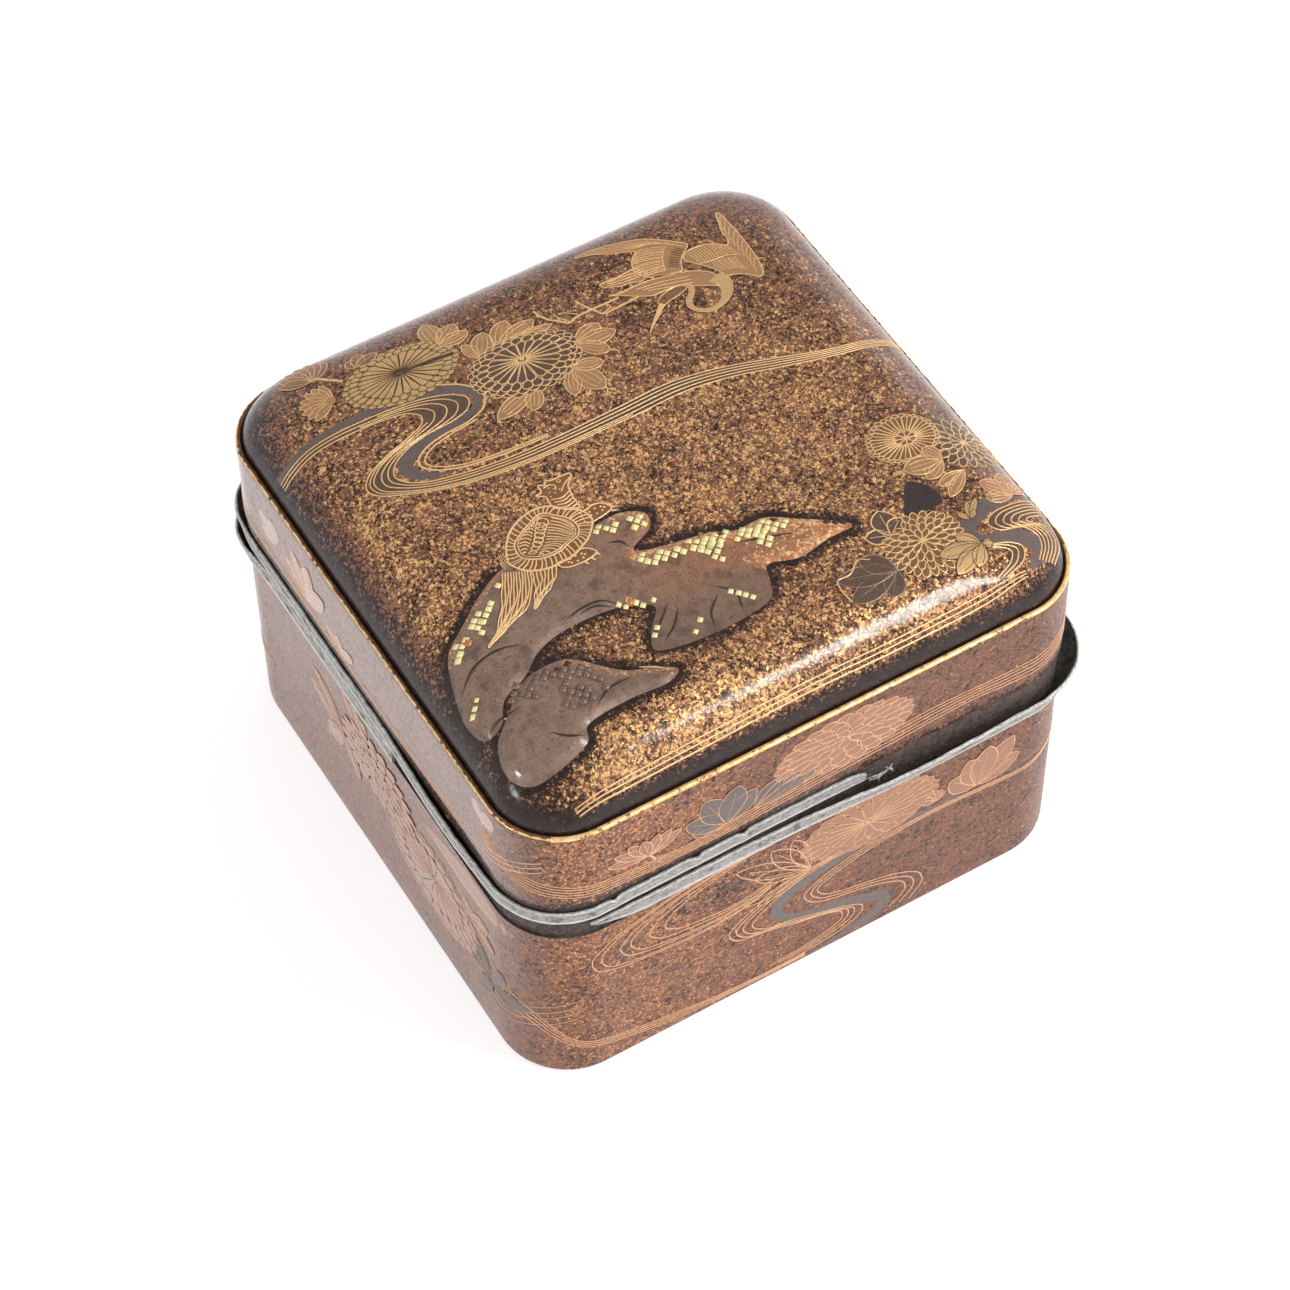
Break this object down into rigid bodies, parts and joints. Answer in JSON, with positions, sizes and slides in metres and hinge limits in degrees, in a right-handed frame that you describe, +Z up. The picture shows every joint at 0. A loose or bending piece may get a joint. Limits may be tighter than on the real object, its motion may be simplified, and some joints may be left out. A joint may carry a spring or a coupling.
{
  "type": "covered lacquer box",
  "caption": "Small square wooden box with rounded corners, gold lacquer, a crowned lift-off lid guided by a standing inner lip, and bent pewter strips on its two meeting edges.",
  "frame": {"origin": "middle of the underside, on the surface the box stands on", "axes": "+Z up, the way the lid lifts; the front side faces -Y and the left side faces -X"},
  "size_m": [0.079, 0.0792, 0.0558],
  "materials": {
    "gold_lacquer": "gold-flecked brown lacquer, polished",
    "dark_lacquer": "plain dark lacquer, satin",
    "pewter": "worn grey pewter"
  },
  "bodies": {
    "box": {"base_board": "dark_lacquer", "body_wall": "gold_lacquer", "inner_lip": "dark_lacquer", "body_rim": "pewter"},
    "lid": {"lid_wall": "gold_lacquer", "lid_top": "gold_lacquer", "lid_rim": "pewter"}
  },
  "joints": [
    {"name": "lid_lift", "type": "slide", "parent": "box", "child": "lid", "axis": [0, 0, 1], "range_m": [0, 0.06]}
  ]
}
